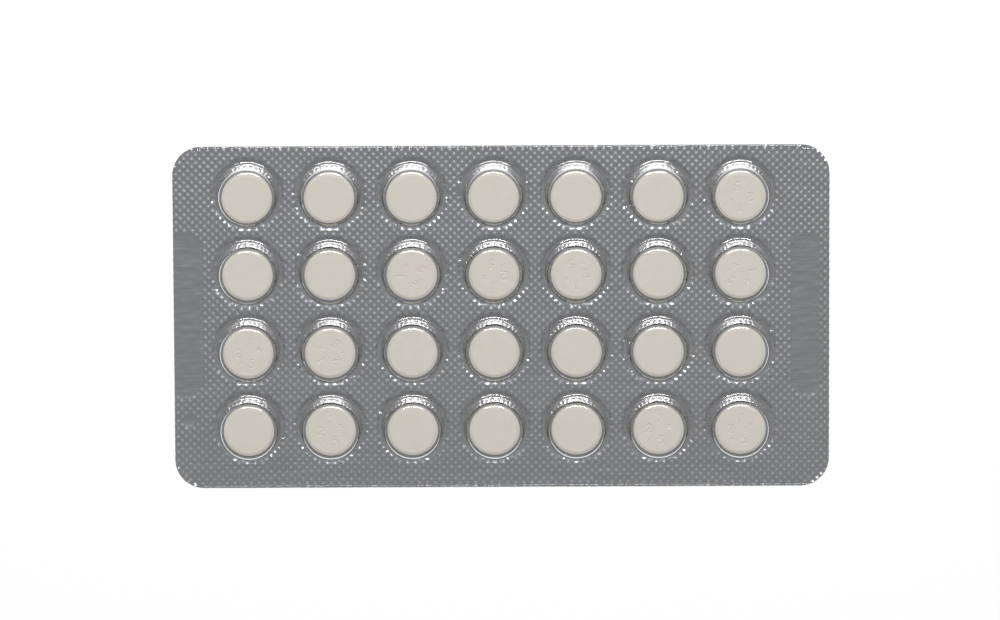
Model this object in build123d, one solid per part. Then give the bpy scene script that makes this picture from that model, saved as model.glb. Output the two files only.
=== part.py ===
from build123d import *
import math
import os

# Blister pack of round tablets, lying on its lidding foil with the pockets up.
# Millimetres. X runs along the pack, Y across it (+Y is the back edge), Z up.
# The origin is under the middle of the pack, on the foil's underside.

# Pack outline
pack_length = 90.0
pack_width = 47.6
corner_radius = 4.0
left_margin = 6.0  # pack's left edge to the first column's pocket rims
right_margin = 8.0  # last column's pocket rims to the pack's right edge
back_margin = 2.4  # pack's back edge to the first row's pocket rims
front_margin = 4.2  # last row's pocket rims to the pack's front edge

# Pocket grid
columns = 7
rows = 4

# Sheet stock
foil_thickness = 0.03  # hard aluminium lidding foil
sheet_thickness = 0.25  # clear film, where it stays flat
pocket_wall = 0.2  # the same film, drawn thinner in the pockets

# Tablet: flat faces, bevelled edge
tablet_diameter = 7.0
tablet_thickness = 2.7
bevel_width = 0.45  # measured in from the band
bevel_height = 0.25  # measured down from the face
edge_round = 0.08  # where the bevel meets the band

# Room for the tablet in its pocket
side_clearance = 0.27  # band to wall at the pocket's top corner
head_space = 0.85  # tablet's face to the pocket's ceiling
wall_draft = 4.5  # degrees from upright, so that the pack leaves the mould
shoulder_round = 0.75  # outside of the corner between wall and ceiling
rim_round = 0.35  # outside of the bend between flange and wall

# How far each row's tablets have slid towards the front wall of their pockets
row_slide = [0.22, 0.04, 0.06, 0.04]

# Heights
flange_bottom = foil_thickness
flange_top = flange_bottom + sheet_thickness
ceiling_inside = foil_thickness + tablet_thickness + head_space
ceiling_outside = ceiling_inside + pocket_wall

# Pocket radii: the wall leans out from the ceiling down to the flange
draft_slope = math.tan(math.radians(wall_draft))
tablet_radius = tablet_diameter / 2
ceiling_radius_inside = tablet_radius + side_clearance
ceiling_radius_outside = ceiling_radius_inside + pocket_wall
rim_radius_inside = ceiling_radius_inside + (ceiling_inside - flange_bottom) * draft_slope
rim_radius_outside = ceiling_radius_outside + (ceiling_outside - flange_top) * draft_slope

# Pocket centres: the margins set the outer pockets, the rest are spread evenly between them
first_x = -pack_length / 2 + left_margin + rim_radius_outside
last_x = pack_length / 2 - right_margin - rim_radius_outside
back_y = pack_width / 2 - back_margin - rim_radius_outside
front_y = -pack_width / 2 + front_margin + rim_radius_outside
column_pitch = (last_x - first_x) / (columns - 1)
row_pitch = (back_y - front_y) / (rows - 1)


def pocket_centre(row, column):
    """Middle of a pocket; row 0 is the back row and column 0 the left one."""
    return first_x + column * column_pitch, back_y - row * row_pitch


def pocket_centres():
    return [pocket_centre(row, column) for row in range(rows) for column in range(columns)]


def sheet(bottom, thickness):
    """Flat sheet with the pack's outline."""
    with BuildPart() as flat:
        with BuildSketch(Plane.XY.offset(bottom)):
            RectangleRounded(pack_length, pack_width, corner_radius)
        extrude(amount=thickness)
    return flat.part


def domed_plug(ceiling, ceiling_radius, rim, rim_radius, top_round, bend_round, foot):
    """Turned plug with a pocket's profile, which flares into the flange and ends square at foot."""
    spread = 2 * bend_round  # flat stretch for the bend to run out on
    with BuildPart() as plug:
        with BuildSketch(Plane.XZ):
            with BuildLine():
                skin = FilletPolyline(
                    (0, ceiling),
                    (ceiling_radius, ceiling),
                    (rim_radius, rim),
                    (rim_radius + spread, rim),
                    radius=[top_round, bend_round],
                )
                Polyline(skin @ 1, (rim_radius + spread, foot), (0, foot), (0, ceiling))
            make_face()
        revolve(axis=Axis.Z)
    return plug.part


def blister_web():
    """Clear formed film: the flat flange and all its pockets are one sheet."""
    film = sheet(flange_bottom, sheet_thickness)
    places = [Location((x, y, 0)) for x, y in pocket_centres()]
    bump = domed_plug(
        ceiling_outside,
        ceiling_radius_outside,
        flange_top,
        rim_radius_outside,
        shoulder_round,
        rim_round,
        (flange_bottom + flange_top) / 2,
    )
    hollow = domed_plug(
        ceiling_inside,
        ceiling_radius_inside,
        flange_bottom,
        rim_radius_inside,
        shoulder_round - pocket_wall,
        rim_round + sheet_thickness,
        0,
    )
    film = film + [place * bump for place in places]
    return film - [place * hollow for place in places]


def lidding_foil():
    """Foil sealed to the flange's underside, closing every pocket."""
    return sheet(0, foil_thickness)


def tablet(row, column):
    """One pressed tablet, lying flat on the foil in its pocket."""
    x, y = pocket_centre(row, column)
    bottom = foil_thickness
    top = bottom + tablet_thickness
    face_radius = tablet_radius - bevel_width
    with BuildPart() as pill:
        with BuildSketch(Plane.XZ):
            with BuildLine():
                FilletPolyline(
                    (0, bottom),
                    (face_radius, bottom),
                    (tablet_radius, bottom + bevel_height),
                    (tablet_radius, top - bevel_height),
                    (face_radius, top),
                    (0, top),
                    radius=edge_round,
                )
                Line((0, top), (0, bottom))
            make_face()
        revolve(axis=Axis.Z)
    return Location((x, y - row_slide[row], 0)) * pill.part


pieces = {"blister_web": blister_web(), "lidding_foil": lidding_foil()}
for row in range(rows):
    for column in range(columns):
        pieces[f"tablet_r{row + 1}_c{column + 1}"] = tablet(row, column)

os.makedirs("parts", exist_ok=True)
for name, piece in pieces.items():
    export_step(piece, f"parts/{name}.step")
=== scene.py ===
import math

import bpy
import numpy as np
from mathutils import Matrix, Vector


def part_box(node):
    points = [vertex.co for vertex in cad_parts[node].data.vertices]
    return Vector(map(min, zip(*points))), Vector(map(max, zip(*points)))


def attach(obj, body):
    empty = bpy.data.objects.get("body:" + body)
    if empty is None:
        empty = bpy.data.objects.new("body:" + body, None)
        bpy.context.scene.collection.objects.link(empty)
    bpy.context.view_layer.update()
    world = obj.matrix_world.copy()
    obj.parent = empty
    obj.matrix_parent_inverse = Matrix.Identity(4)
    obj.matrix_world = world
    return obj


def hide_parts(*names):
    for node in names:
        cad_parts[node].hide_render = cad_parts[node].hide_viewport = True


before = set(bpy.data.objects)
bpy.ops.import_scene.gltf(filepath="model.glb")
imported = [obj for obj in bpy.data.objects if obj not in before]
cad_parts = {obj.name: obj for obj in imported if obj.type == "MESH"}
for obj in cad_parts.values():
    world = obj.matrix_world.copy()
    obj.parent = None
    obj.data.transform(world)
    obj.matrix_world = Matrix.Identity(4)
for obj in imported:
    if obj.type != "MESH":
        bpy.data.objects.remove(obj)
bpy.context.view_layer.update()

mm = 0.001  # shapes are worked out in millimetres, and turned to metres as each mesh is made


def linear(hexCode):
    # sRGB hex to the linear colour that the shaders work in
    parts = [int(hexCode[i:i + 2], 16) / 255 for i in (0, 2, 4)]
    return [c / 12.92 if c <= 0.04045 else ((c + 0.055) / 1.055) ** 2.4 for c in parts] + [1.0]


def addNode(tree, kind, values=None, links=None, **settings):
    node = tree.nodes.new(kind)
    for name, value in settings.items():
        setattr(node, name, value)
    for name, value in (values or {}).items():
        node.inputs[name].default_value = value
    for name, source in (links or {}).items():
        tree.links.new(source, node.inputs[name])
    return node


def newMaterial(name):
    material = bpy.data.materials.new(name)
    material.use_nodes = True
    material.node_tree.nodes.clear()
    return material, material.node_tree


def smoothStep(low, high, value):
    t = np.clip((np.asarray(value, float) - low) / (high - low), 0, 1)
    return t * t * (3 - 2 * t)


class Shell:
    # gathers points and faces in millimetres, then becomes one mesh object
    def __init__(self):
        self.points, self.faces, self.count = [], [], 0

    def add(self, points):
        points = np.asarray(points, float).reshape(-1, 3)
        first = self.count
        self.points.append(points)
        self.count += len(points)
        return list(range(first, self.count))

    def piece(self, name, material):
        mesh = bpy.data.meshes.new(name)
        mesh.from_pydata((np.concatenate(self.points) * mm).tolist(), [], self.faces)
        mesh.polygons.foreach_set("use_smooth", [True] * len(mesh.polygons))
        mesh.materials.append(material)
        mesh.validate()
        mesh.update()
        made = bpy.data.objects.new(name, mesh)
        bpy.context.scene.collection.objects.link(made)
        return made


# the film's own sizes, in millimetres; the rest comes from the frame
web = dict(
    sheet=0.25,  # clear film where it stays flat
    pocketWall=0.2,  # the same film drawn thinner in the pockets
    sideClearance=0.27,  # tablet's band to the pocket wall, at the ceiling
    draft=4.5,  # degrees that the pocket wall leans out
    shoulderRound=0.75,
    rimRound=0.35,
    ringMargin=0.05,  # from the rim's round to the ring where the pocket's skin joins the flange
    underMargin=0.3,  # the same on the underside, where that round is wider
    cornerRadius=4.0,
    segments=60,  # round each pocket
    bendSteps=5,
    shoulderSteps=8,
)

tabletNames = sorted(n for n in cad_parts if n.startswith("tablet_"))
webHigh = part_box("blister_web")[1] / mm
foilLow, foilHigh = (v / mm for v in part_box("lidding_foil"))
tabletLow, tabletHigh = (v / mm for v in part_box(tabletNames[0]))
foilThickness = foilHigh.z - foilLow.z
tabletRadius = (tabletHigh.x - tabletLow.x) / 2
halfLength, halfWidth = webHigh.x, webHigh.y

flangeTop = foilThickness + web["sheet"]
ceilingTop = webHigh.z
ceilingUnder = ceilingTop - web["pocketWall"]
lean = math.tan(math.radians(web["draft"]))
ceilingInner = tabletRadius + web["sideClearance"]
ceilingOuter = ceilingInner + web["pocketWall"]
rimInner = ceilingInner + (ceilingUnder - foilThickness) * lean
rimOuter = ceilingOuter + (ceilingTop - flangeTop) * lean

# a pocket's middle is the middle of the film's high points round its tablet
filmPoints = np.array([v.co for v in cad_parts["blister_web"].data.vertices]) / mm
highPoints = filmPoints[filmPoints[:, 2] > (flangeTop + ceilingTop) / 2][:, :2]
pockets = {}
for name in tabletNames:
    low, high = (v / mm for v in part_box(name))
    middle = np.array([(low.x + high.x) / 2, (low.y + high.y) / 2])
    near = highPoints[np.linalg.norm(highPoints - middle, axis=1) < 1.1 * rimOuter]
    pockets[name] = (near.min(0) + near.max(0)) / 2
centres = np.array(list(pockets.values()))

# seal pattern: knurl, a smooth ring round each pocket, two code windows and a register spot
seal = dict(
    pitch=1.105,  # cell to cell along the pack; the rows between are staggered
    rise=0.14,  # how far a knurl point lifts the foil into the film
    shiftX=0.23,
    shiftY=0.34,
    smoothBand=0.42,  # unsealed ring round a pocket's rim
    fadeBand=0.4,
    windowFade=0.35,
    edgeScallop=0.025,
    hairGap=0.003,  # keeps film and foil from sharing a surface
    quilting=0.12,  # share of the knurl that shows on the film's top
)
leftWindow = dict(x=(-halfLength - 3, -halfLength + 4.0), y=(-11.4, 11.75), round=2.0)
rightWindow = dict(x=(halfLength - 5.4, halfLength - 1.0), y=(-11.4, 11.35), round=1.9)
windowLift = 0.05  # room that the loose foil has to crinkle in
spot = dict(x=-42.95, y=-14.45, radius=0.72, fadeIn=0.1, fadeOut=0.12)


def knurl(x, y):
    # rounded pyramids between V grooves that cross at 45 degrees
    a = (x - seal["shiftX"] + y - seal["shiftY"]) / seal["pitch"]
    b = (x - seal["shiftX"] - y + seal["shiftY"]) / seal["pitch"]
    return seal["rise"] * np.cos(np.pi * (a - np.round(a))) * np.cos(np.pi * (b - np.round(b)))


def insideBy(window, x, y):
    # distance to the window's edge, positive inside it
    (x0, x1), (y0, y1), r = window["x"], window["y"], window["round"]
    dx = np.abs(x - (x0 + x1) / 2) - (x1 - x0) / 2 + r
    dy = np.abs(y - (y0 + y1) / 2) - (y1 - y0) / 2 + r
    return r - np.hypot(np.maximum(dx, 0), np.maximum(dy, 0)) - np.minimum(np.maximum(dx, dy), 0)


def windowShare(x, y):
    left, right = insideBy(leftWindow, x, y), insideBy(rightWindow, x, y)
    return np.maximum(smoothStep(0, seal["windowFade"], left), smoothStep(0, seal["windowFade"], right))


def crinkle(x, y):
    # loose foil: long creases across the window, and finer ones over them; all waves are per millimetre
    def ridge(t):
        return 1 - np.abs(2 * (t - np.floor(t)) - 1)
    sway = 0.35 * np.sin(0.9 * y + 1.3) + 0.2 * np.sin(2.3 * x - 0.7 * y)
    folds = 0.55 * ridge(0.42 * y + 0.16 * x + sway) ** 2
    folds += 0.3 * ridge(0.95 * y - 0.31 * x + 0.6 * sway) ** 2
    folds += 0.15 * ridge(1.7 * x + 0.45 * y)
    return windowLift * folds


def fromPocket(x, y):
    # distance to the middle of the nearest pocket
    return np.min(np.hypot(x[..., None] - centres[:, 0], y[..., None] - centres[:, 1]), axis=-1)


def sealShare(x, y):
    # 1 where the knurl is at full height, 0 where the seal leaves the foil smooth
    gap = fromPocket(x, y) - rimOuter
    share = smoothStep(seal["smoothBand"], seal["smoothBand"] + seal["fadeBand"], gap)
    fromSpot = np.hypot(x - spot["x"], y - spot["y"])
    spotShare = smoothStep(spot["radius"] - spot["fadeIn"], spot["radius"] + spot["fadeOut"], fromSpot)
    return share * (1 - windowShare(x, y)) * spotShare


def foilTop(x, y):
    return foilThickness + sealShare(x, y) * knurl(x, y) + windowShare(x, y) * crinkle(x, y)


def filmUnder(x, y):
    # the film's underside takes the knurl, and bridges the loose foil in the windows
    return foilTop(x, y) + seal["hairGap"] + windowShare(x, y) * (windowLift - crinkle(x, y))


def filmTop(x, y):
    # the knurl shows through the film as a faint quilting
    return flangeTop + seal["quilting"] * sealShare(x, y) * (knurl(x, y) - seal["rise"] / 2)


def outline(count=1040):
    # rounded rectangle, with the knurl's faint scallops on its cut edge
    r, hl, hw = web["cornerRadius"], halfLength, halfWidth
    runs = [2 * (hl - r), math.pi * r / 2, 2 * (hw - r), math.pi * r / 2] * 2
    corners = [(hl - r, hw - r, 90), (hl - r, -hw + r, 0), (-hl + r, -hw + r, -90), (-hl + r, hw - r, 180)]
    starts = [(-hl + r, hw), (hl, hw - r), (hl - r, -hw), (-hl, -hw + r)]
    steps = [(1, 0), (0, -1), (-1, 0), (0, 1)]
    points = []
    for s in np.arange(count) * sum(runs) / count:
        side = 0
        while s > runs[side]:
            s -= runs[side]
            side += 1
        k = side // 2
        if side % 2 == 0:
            x, y = starts[k][0] + s * steps[k][0], starts[k][1] + s * steps[k][1]
            inward = (steps[k][1], -steps[k][0])
        else:
            cx, cy, angle = corners[k]
            t = math.radians(angle) - s / r
            x, y = cx + r * math.cos(t), cy + r * math.sin(t)
            inward = (-math.cos(t), -math.sin(t))
        dip = seal["edgeScallop"] * (1 - knurl(x, y) / seal["rise"])
        points.append((x + dip * inward[0], y + dip * inward[1]))
    return np.array(points)


def edgeGap(x, y):
    # distance in from the pack's outline
    r = web["cornerRadius"]
    dx, dy = np.abs(x) - halfLength + r, np.abs(y) - halfWidth + r
    return r - np.hypot(np.maximum(dx, 0), np.maximum(dy, 0)) - np.minimum(np.maximum(dx, dy), 0)


def gridLine(half, shift, step):
    # places along one side of the pack, in step with the knurl
    first, last = math.floor((-half - shift) / step), math.ceil((half - shift) / step)
    return shift + step * np.arange(first, last + 1)


def carrier(step, ringRadius):
    # a flat square grid: points, triangles and boundary loops, clear of the outline and of the pockets' rings
    xs = gridLine(halfLength, seal["shiftX"], step)
    ys = gridLine(halfWidth, seal["shiftY"], step)
    x, y = np.meshgrid(xs, ys, indexing="ij")
    clear = 0.4 * step  # room left for the triangles that zip the grid to its boundaries
    keep = (edgeGap(x, y) > clear) & (fromPocket(x, y) > ringRadius + clear)
    quad = keep[:-1, :-1] & keep[1:, :-1] & keep[:-1, 1:] & keep[1:, 1:]
    number = -np.ones(x.shape, int)
    used = np.zeros(x.shape, bool)
    for di, dj in ((0, 0), (1, 0), (0, 1), (1, 1)):
        used[di:di + quad.shape[0], dj:dj + quad.shape[1]] |= quad
    number[used] = np.arange(used.sum())
    cells = np.argwhere(quad)
    a, b = number[cells[:, 0], cells[:, 1]], number[cells[:, 0] + 1, cells[:, 1]]
    c, d = number[cells[:, 0] + 1, cells[:, 1] + 1], number[cells[:, 0], cells[:, 1] + 1]
    # each quad is split along the groove's direction
    i = np.round((x[cells[:, 0], cells[:, 1]] - seal["shiftX"]) / step).astype(int)
    j = np.round((y[cells[:, 0], cells[:, 1]] - seal["shiftY"]) / step).astype(int)
    rising = (i + j) % 2 == 1
    first = np.where(rising[:, None], np.stack([a, b, c], 1), np.stack([a, b, d], 1))
    second = np.where(rising[:, None], np.stack([a, c, d], 1), np.stack([b, c, d], 1))
    triangles = np.concatenate([first, second])
    # an edge that only one quad has is on the boundary
    starts, ends = np.concatenate([a, b, c, d]).tolist(), np.concatenate([b, c, d, a]).tolist()
    sides = set(zip(starts, ends))
    following = {}
    for p, q in sides:
        if (q, p) not in sides:
            following[p] = q
    loops = []
    while following:
        start, loop = next(iter(following)), []
        at = start
        while at in following:
            loop.append(at)
            at = following.pop(at)
        loops.append(loop)
    return np.stack([x[used], y[used]], 1), triangles, loops


def zipLoops(inner, outer, flat):
    # triangles between two loops that wind round the same middle, always by the shorter way across
    def counterClockwise(loop):
        x, y = flat[loop].T
        return loop if np.sum(x * np.roll(y, -1) - np.roll(x, -1) * y) > 0 else loop[::-1]
    a, b = counterClockwise(list(inner)), counterClockwise(list(outer))
    near = int(np.argmin(np.linalg.norm(flat[b] - flat[a[0]], axis=1)))
    a, b = a + a[:1], b[near:] + b[:near + 1]
    i = j = 0
    made = []
    while i < len(a) - 1 or j < len(b) - 1:
        alongA = np.linalg.norm(flat[a[i + 1]] - flat[b[j]]) if i < len(a) - 1 else math.inf
        alongB = np.linalg.norm(flat[a[i]] - flat[b[j + 1]]) if j < len(b) - 1 else math.inf
        if alongA <= alongB:
            made.append((a[i], b[j], a[i + 1]))
            i += 1
        else:
            made.append((a[i], b[j], b[j + 1]))
            j += 1
    return made


def layer(shell, step, ringRadius, height, up, edge):
    # one face of film or foil between the outline and the pockets' rings; returns the loops that it ends on
    flat, triangles, loops = carrier(step, ringRadius)
    turn = np.linspace(0, 2 * math.pi, web["segments"], endpoint=False)
    rings = [centre + ringRadius * np.stack([np.cos(turn), np.sin(turn)], 1) for centre in centres]
    flat = np.concatenate([flat, edge] + rings)
    shell.add(np.column_stack([flat, height(flat[:, 0], flat[:, 1])]))
    first = shell.count - len(flat)
    ringStart = len(flat) - len(turn) * len(rings)
    edgeLoop = list(range(ringStart - len(edge), ringStart))
    ringLoops = [list(range(ringStart + k * len(turn), ringStart + (k + 1) * len(turn)))
                 for k in range(len(centres))]
    loops.sort(key=len, reverse=True)
    made = triangles.tolist() + zipLoops(loops[0], edgeLoop, flat)
    for loop in loops[1:]:
        middle = flat[loop].mean(0)
        k = int(np.argmin(np.linalg.norm(centres - middle, axis=1)))
        made += zipLoops(ringLoops[k], loop, flat)
    made = np.array(made) + first
    shell.faces += (made if up else made[:, ::-1]).tolist()
    return [first + k for k in edgeLoop], [[first + k for k in loop] for loop in ringLoops]


def band(shell, lower, upper):
    # quads between two loops of the same length; lower is the one seen below from outside
    for k in range(len(lower)):
        shell.faces.append((lower[k - 1], lower[k], upper[k], upper[k - 1]))


def fan(shell, loop, tip, up):
    # triangles from a loop to one point in its middle
    middle = shell.add([tip])[0]
    for k in range(len(loop)):
        shell.faces.append((loop[k - 1], loop[k], middle) if up else (loop[k], loop[k - 1], middle))


def roundedCorner(before, corner, after, radius, steps):
    # arc that touches both runs of a profile at a corner
    before, corner, after = (np.array(p, float) for p in (before, corner, after))
    u, v = (before - corner), (after - corner)
    u, v = u / np.linalg.norm(u), v / np.linalg.norm(v)
    half = math.acos(float(np.clip(u @ v, -1, 1))) / 2
    middle = corner + (u + v) / np.linalg.norm(u + v) * radius / math.sin(half)
    start = corner + u * radius / math.tan(half) - middle
    end = corner + v * radius / math.tan(half) - middle
    sweep = math.pi - 2 * half
    return [middle + (math.sin((1 - t) * sweep) * start + math.sin(t * sweep) * end) / math.sin(sweep)
            for t in np.linspace(0, 1, steps)]


def pocketProfile(ringRadius, rimZ, rimRadius, bend, ceilingZ, ceilingRadius, shoulder):
    # (radius, height) from the flange up and over to near the middle
    wallFoot, wallTop = (rimRadius, rimZ), (ceilingRadius, ceilingZ)
    points = roundedCorner((ringRadius, rimZ), wallFoot, wallTop, bend, web["bendSteps"])
    points += roundedCorner(wallFoot, wallTop, (0, ceilingZ), shoulder, web["shoulderSteps"])
    return points + [(0.5 * ceilingRadius, ceilingZ)]


def dome(shell, centre, ring, profile, up):
    # turns a profile into a pocket's skin, from a ring of the flange to its middle
    turn = np.linspace(0, 2 * math.pi, web["segments"], endpoint=False)
    last = ring
    for radius, height in profile:
        x, y = centre[0] + radius * np.cos(turn), centre[1] + radius * np.sin(turn)
        loop = shell.add(np.column_stack([x, y, np.full(len(turn), height)]))
        band(shell, *((last, loop) if up else (loop, last)))
        last = loop
    fan(shell, last, (centre[0], centre[1], profile[-1][1]), up)


fineStep, coarseStep = seal["pitch"] / 4, seal["pitch"] / 2
ringRadius = rimOuter + web["rimRound"] + web["ringMargin"]
edge = outline()
print("frame read:", len(pockets), "pockets, knurl pitch", seal["pitch"], "mm")


def formedPvcFilm():
    # clear PVC, heated and drawn into moulds: glossy, with a faint ripple that breaks up its highlights
    film = dict(tint="F7FAFB", passed="F7F7F7", roughness=0.06, ripple=2.2, rippleDepth=0.004)  # millimetres
    material, tree = newMaterial("formedPvcFilm")
    place = addNode(tree, "ShaderNodeTexCoord")
    ripple = addNode(tree, "ShaderNodeTexNoise", {"Scale": 1000 / film["ripple"], "Detail": 2.0},
                     {"Vector": place.outputs["Object"]})
    bump = addNode(tree, "ShaderNodeBump", {"Strength": 0.5, "Distance": film["rippleDepth"] * mm},
                   {"Height": ripple.outputs["Fac"]})
    sheen = addNode(tree, "ShaderNodeMapRange",
                    {"To Min": 0.7 * film["roughness"], "To Max": 1.4 * film["roughness"]},
                    {"Value": ripple.outputs["Fac"]})
    glass = addNode(tree, "ShaderNodeBsdfPrincipled",
                    {"Base Color": linear(film["tint"]), "IOR": 1.53, "Transmission Weight": 1.0},
                    {"Roughness": sheen.outputs["Result"], "Normal": bump.outputs["Normal"]})
    # the lamp's light reaches what is inside without bending, and so does light that a surface scatters
    clear = addNode(tree, "ShaderNodeBsdfTransparent", {"Color": linear(film["passed"])})
    path = addNode(tree, "ShaderNodeLightPath")
    # a refracted ray counts as a glossy one too, so those are taken off again
    mirrored = addNode(tree, "ShaderNodeMath", None,
                       {0: path.outputs["Is Glossy Ray"], 1: path.outputs["Is Transmission Ray"]},
                       operation="SUBTRACT")
    soft = addNode(tree, "ShaderNodeMath", None, {0: path.outputs["Is Diffuse Ray"], 1: mirrored.outputs[0]},
                   operation="MAXIMUM")
    lamp = addNode(tree, "ShaderNodeMath", None, {0: path.outputs["Is Shadow Ray"], 1: soft.outputs[0]},
                   operation="MAXIMUM")
    mix = addNode(tree, "ShaderNodeMixShader", None,
                  {0: lamp.outputs[0], 1: glass.outputs[0], 2: clear.outputs[0]})
    addNode(tree, "ShaderNodeOutputMaterial", None, {"Surface": mix.outputs[0]})
    return material


def rolledAluminiumFoil():
    # hard aluminium, rolled: a satin metal with fine streaks along the pack from the rolls
    foil = dict(bright="D9D9DC", dull="C4C4C9", roughness=0.22, streak=0.25, streakStretch=0.06, grain=0.12,
                grainDepth=0.003)  # millimetres; both are coarser than real ones, so that they show
    material, tree = newMaterial("rolledAluminiumFoil")
    place = addNode(tree, "ShaderNodeTexCoord")
    stretch = addNode(tree, "ShaderNodeMapping", {"Scale": (foil["streakStretch"], 1.0, 1.0)},
                      {"Vector": place.outputs["Object"]})
    streaks = addNode(tree, "ShaderNodeTexNoise", {"Scale": 1000 / foil["streak"], "Detail": 3.0},
                      {"Vector": stretch.outputs[0]})
    grain = addNode(tree, "ShaderNodeTexNoise", {"Scale": 1000 / foil["grain"], "Detail": 2.0},
                    {"Vector": place.outputs["Object"]})
    colour = addNode(tree, "ShaderNodeMix", {"A": linear(foil["dull"]), "B": linear(foil["bright"])},
                     {"Factor": streaks.outputs["Fac"]}, data_type="RGBA")
    sheen = addNode(tree, "ShaderNodeMapRange",
                    {"To Min": 0.75 * foil["roughness"], "To Max": 1.25 * foil["roughness"]},
                    {"Value": streaks.outputs["Fac"]})
    bump = addNode(tree, "ShaderNodeBump", {"Strength": 0.6, "Distance": foil["grainDepth"] * mm},
                   {"Height": grain.outputs["Fac"]})
    metal = addNode(tree, "ShaderNodeBsdfPrincipled", {"Metallic": 1.0},
                    {"Base Color": colour.outputs["Result"], "Roughness": sheen.outputs["Result"],
                     "Normal": bump.outputs["Normal"]})
    addNode(tree, "ShaderNodeOutputMaterial", None, {"Surface": metal.outputs[0]})
    return material


def pressedTabletPowder():
    # powder pressed between polished punches: matt, chalky, with faint mottling and fine grains
    powder = dict(pale="E6DED3", warm="DCD2C5", mottle=1.4, grain=0.11, grainDepth=0.012, roughness=0.82,
                  roughnessSpread=0.08)  # mottle and grain in millimetres
    material, tree = newMaterial("pressedTabletPowder")
    place = addNode(tree, "ShaderNodeTexCoord")
    mottle = addNode(tree, "ShaderNodeTexNoise",
                     {"Scale": 1000 / powder["mottle"], "Detail": 4.0, "Roughness": 0.6},
                     {"Vector": place.outputs["Object"]})
    grain = addNode(tree, "ShaderNodeTexNoise", {"Scale": 1000 / powder["grain"], "Detail": 3.0},
                    {"Vector": place.outputs["Object"]})
    colour = addNode(tree, "ShaderNodeMix", {"A": linear(powder["warm"]), "B": linear(powder["pale"])},
                     {"Factor": mottle.outputs["Fac"]}, data_type="RGBA")
    bump = addNode(tree, "ShaderNodeBump", {"Strength": 0.5, "Distance": powder["grainDepth"] * mm},
                   {"Height": grain.outputs["Fac"]})
    sheen = addNode(tree, "ShaderNodeMapRange",
                    {"To Min": powder["roughness"] - powder["roughnessSpread"],
                     "To Max": powder["roughness"] + powder["roughnessSpread"]},
                    {"Value": grain.outputs["Fac"]})
    chalk = addNode(tree, "ShaderNodeBsdfPrincipled", {"IOR": 1.5},
                    {"Base Color": colour.outputs["Result"], "Roughness": sheen.outputs["Result"],
                     "Normal": bump.outputs["Normal"]})
    addNode(tree, "ShaderNodeOutputMaterial", None, {"Surface": chalk.outputs[0]})
    return material


filmMaterial, foilMaterial, powderMaterial = formedPvcFilm(), rolledAluminiumFoil(), pressedTabletPowder()


def formedFilm():
    # one skin: quilted top, knurled underside, and a pocket turned on each ring of both
    shell = Shell()
    topEdge, topRings = layer(shell, coarseStep, ringRadius, filmTop, True, edge)
    underEdge, underRings = layer(shell, fineStep, ringRadius, filmUnder, False, edge)
    outside = pocketProfile(ringRadius, flangeTop, rimOuter, web["rimRound"], ceilingTop, ceilingOuter,
                            web["shoulderRound"])
    inside = pocketProfile(ringRadius + web["underMargin"], foilThickness + seal["hairGap"], rimInner,
                           web["rimRound"] + web["sheet"], ceilingUnder, ceilingInner,
                           web["shoulderRound"] - web["pocketWall"])
    for k, centre in enumerate(centres):
        dome(shell, centre, topRings[k], outside, True)
        dome(shell, centre, underRings[k], inside, False)
    band(shell, topEdge, underEdge)
    return shell.piece("formed_film", filmMaterial)


def foilUnder(x, y):
    return foilTop(x, y) - foilThickness


def sealedFoil():
    # knurled on both faces, and flat under each pocket
    shell = Shell()
    topEdge, topRings = layer(shell, fineStep, ringRadius, foilTop, True, edge)
    underEdge, underRings = layer(shell, fineStep, ringRadius, foilUnder, False, edge)
    shares = (0.66, 0.33)  # rings between the pocket's ring and its middle
    flatTop = [(share * ringRadius, foilThickness) for share in shares]
    flatUnder = [(share * ringRadius, 0) for share in shares]
    for k, centre in enumerate(centres):
        dome(shell, centre, topRings[k], flatTop, True)
        dome(shell, centre, underRings[k], flatUnder, False)
    band(shell, topEdge, underEdge)
    return shell.piece("sealed_foil", foilMaterial)


film = formedFilm()
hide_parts("blister_web")
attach(film, "root")
print("film made:", len(film.data.polygons), "faces")

foil = sealedFoil()
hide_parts("lidding_foil")
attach(foil, "root")
print("foil made:", len(foil.data.polygons), "faces")

tablet = dict(bevelWidth=0.45, bevelHeight=0.25, edgeRound=0.1, roundSteps=5, segments=96)

# strength signs pressed into some faces: strokes, one unit high, and where each stands on the face
marks = dict(
    height=1.1,
    strokeWidth=0.24,
    strokeFloor=0.03,  # half the width of a stroke's flat floor
    depth=0.11,
    ringStep=0.06,  # between the rings of points on a marked face
    faceMargin=0.15,
    segments=240,
)
signs = {
    "1": [[(-0.16, 0.3), (0.06, 0.5), (0.06, -0.5)]],
    "+": [[(-0.3, 0), (0.3, 0)], [(0, -0.3), (0, 0.3)]],
    "2": [[(-0.28, 0.28), (-0.2, 0.44), (0, 0.5), (0.2, 0.44), (0.28, 0.26), (0.2, 0.05),
           (-0.28, -0.5), (0.3, -0.5)]],
    ",": [[(0.05, 0.05), (0, -0.06), (-0.09, -0.22)]],
    "5": [[(0.25, 0.5), (-0.2, 0.5), (-0.25, 0.08), (-0.05, 0.16), (0.15, 0.12), (0.28, -0.05), (0.28, -0.25),
           (0.15, -0.44), (-0.08, -0.5), (-0.28, -0.4)]],
}
# sign, place in shares of the tablet's radius, lean in degrees
signPlaces = [("1", 0.02, 0.46, -14), ("+", 0.39, 0.16, 45), ("2", -0.39, 0.02, 0), (",", -0.29, -0.36, 0),
              ("5", 0.13, -0.42, 0)]
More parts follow.
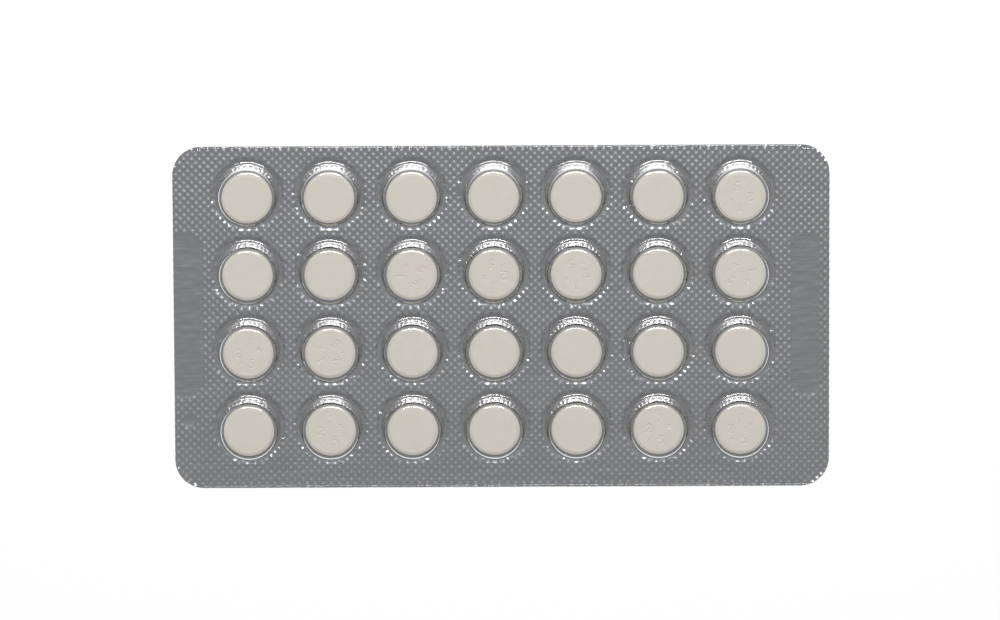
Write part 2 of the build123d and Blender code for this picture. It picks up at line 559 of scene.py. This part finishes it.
# how far each marked tablet has turned in its pocket, degrees
markTurns = {
    "tablet_r1_c7": 180, "tablet_r2_c3": 100, "tablet_r2_c4": 175, "tablet_r2_c5": 185, "tablet_r2_c7": -70,
    "tablet_r3_c1": 0, "tablet_r3_c2": 130, "tablet_r4_c2": 5, "tablet_r4_c6": -5, "tablet_r4_c7": 0,
}


def pressedDepth(x, y, turn):
    # how deep the strokes go at a point of the face
    c, s = math.cos(math.radians(turn)), math.sin(math.radians(turn))
    u, v = c * x + s * y, c * y - s * x
    near = np.full(np.shape(x), math.inf)
    for sign, placeX, placeY, leaning in signPlaces:
        c, s = math.cos(math.radians(leaning)), math.sin(math.radians(leaning))
        for stroke in signs[sign]:
            run = [(tabletRadius * placeX + marks["height"] * (c * px - s * py),
                    tabletRadius * placeY + marks["height"] * (s * px + c * py)) for px, py in stroke]
            for (ax, ay), (bx, by) in zip(run, run[1:]):
                dx, dy = bx - ax, by - ay
                t = np.clip(((u - ax) * dx + (v - ay) * dy) / (dx ** 2 + dy ** 2), 0, 1)
                near = np.minimum(near, np.hypot(u - ax - t * dx, v - ay - t * dy))
    floor = marks["strokeFloor"]
    return marks["depth"] * (1 - smoothStep(floor, marks["strokeWidth"] / 2 + floor, near))


def turnedTablet(name):
    # flat faces, a bevel and softly rounded edges, turned about the tablet's middle
    low, high = (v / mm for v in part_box(name))
    x, y = (low.x + high.x) / 2, (low.y + high.y) / 2
    r, w, h = tabletRadius, tablet["bevelWidth"], tablet["bevelHeight"]
    marked = name in markTurns
    corners = [(0, high.z), (r - w, high.z), (r, high.z - h), (r, low.z + h), (r - w, low.z), (0, low.z)]
    profile = [(0.5 * r, high.z)]
    if marked:
        rings = np.arange(marks["ringStep"], r - w - marks["faceMargin"], marks["ringStep"])
        profile = [(radius, high.z) for radius in rings]
    faceLoops = len(profile)
    for k in range(1, 5):
        profile += roundedCorner(*corners[k - 1:k + 2], tablet["edgeRound"], tablet["roundSteps"])
    profile.append((0.5 * r, low.z))
    shell = Shell()
    segments = marks["segments"] if marked else tablet["segments"]
    turn = np.linspace(0, 2 * math.pi, segments, endpoint=False)
    last = None
    for k, (radius, height) in enumerate(profile):
        dx, dy = radius * np.cos(turn), radius * np.sin(turn)
        sunk = pressedDepth(dx, dy, markTurns[name]) if marked and k < faceLoops else 0 * dx
        loop = shell.add(np.column_stack([x + dx, y + dy, height - sunk]))
        if last:
            band(shell, loop, last)
        last = loop
    fan(shell, list(range(segments)), (x, y, high.z), True)
    fan(shell, last, (x, y, low.z), False)
    return shell.piece(name.replace("tablet", "pressed_tablet"), powderMaterial)


for name in tabletNames:
    made = turnedTablet(name)
    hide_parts(name)
    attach(made, "root")
print("tablets made:", len(tabletNames))

# floor, light and camera, in metres, watts and degrees
studio = dict(
    floor="FFFFFF",
    floorHalf=6,
    floorDrop=0.00002,  # keeps the floor off the foil's underside
    whiteShare=0.5,
    sky="FFFFFF",
    skyStrength=0.33,
    lampSize=(0.4, 0.2),
    lampPower=5.1,
    lampPlace=(0, 0.33, 0.72),  # high and behind, so that the knurl's back slopes glint
    tilt=10.0,  # how far the view leans towards the back edge
    roll=0.25,
    distance=1.2,
    across=0.1373,  # width of the view at the pack
    aimX=-0.0002,
    aimY=0.0009,
    sensor=36,  # millimetres
    clipEnd=50,
)


def addFloor():
    mesh = bpy.data.meshes.new("floor")
    half = studio["floorHalf"]
    corners = [(-half, -half, 0), (half, -half, 0), (half, half, 0), (-half, half, 0)]
    mesh.from_pydata(corners, [], [(0, 1, 2, 3)])
    floor = bpy.data.objects.new("floor", mesh)
    bpy.context.scene.collection.objects.link(floor)
    floor.location.z = -studio["floorDrop"]
    material, tree = newMaterial("paleFloor")
    paint = addNode(tree, "ShaderNodeBsdfDiffuse", {"Color": linear(studio["floor"])})
    # half of what is seen of the floor is plain white, so it stays even and still keeps the shadow
    white = addNode(tree, "ShaderNodeEmission", {"Color": linear(studio["floor"]), "Strength": 1.0})
    path = addNode(tree, "ShaderNodeLightPath")
    direct = addNode(tree, "ShaderNodeMath", None,
                     {0: path.outputs["Is Camera Ray"], 1: path.outputs["Is Glossy Ray"]},
                     operation="MAXIMUM")
    seen = addNode(tree, "ShaderNodeMath", None,
                   {0: direct.outputs[0], 1: path.outputs["Is Transmission Ray"]}, operation="MAXIMUM")
    share = addNode(tree, "ShaderNodeMath", {1: studio["whiteShare"]}, {0: seen.outputs[0]},
                    operation="MULTIPLY")
    mix = addNode(tree, "ShaderNodeMixShader", None,
                  {0: share.outputs[0], 1: paint.outputs[0], 2: white.outputs[0]})
    addNode(tree, "ShaderNodeOutputMaterial", None, {"Surface": mix.outputs[0]})
    mesh.materials.append(material)


def addLamp():
    data = bpy.data.lights.new("backLamp", "AREA")
    data.shape = "RECTANGLE"
    data.size, data.size_y = studio["lampSize"]
    data.energy = studio["lampPower"]
    lamp = bpy.data.objects.new("backLamp", data)
    bpy.context.scene.collection.objects.link(lamp)
    lamp.location = studio["lampPlace"]
    lamp.rotation_euler = (-lamp.location).to_track_quat("-Z", "Y").to_euler()  # aimed at the pack's middle


def addWorld():
    world = bpy.data.worlds.new("studio")
    bpy.context.scene.world = world
    world.use_nodes = True
    tree = world.node_tree
    tree.nodes.clear()
    sky = addNode(tree, "ShaderNodeBackground",
                  {"Color": linear(studio["sky"]), "Strength": studio["skyStrength"]})
    addNode(tree, "ShaderNodeOutputWorld", None, {"Surface": sky.outputs[0]})


def addCamera():
    data = bpy.data.cameras.new("camera")
    data.sensor_width = studio["sensor"]
    data.lens = studio["sensor"] * studio["distance"] / studio["across"]
    data.clip_end = studio["clipEnd"]
    camera = bpy.data.objects.new("camera", data)
    bpy.context.scene.collection.objects.link(camera)
    aim = Vector((studio["aimX"], studio["aimY"], 0))
    tilt = math.radians(studio["tilt"])
    camera.location = aim + studio["distance"] * Vector((0, math.sin(tilt), math.cos(tilt)))
    look = Matrix.Rotation(-tilt, 4, "X") @ Matrix.Rotation(math.radians(-studio["roll"]), 4, "Z")
    camera.rotation_euler = look.to_euler()
    bpy.context.scene.camera = camera


addFloor()
addWorld()
addLamp()
addCamera()
bpy.context.scene.view_settings.view_transform = "Standard"
print("stage set")
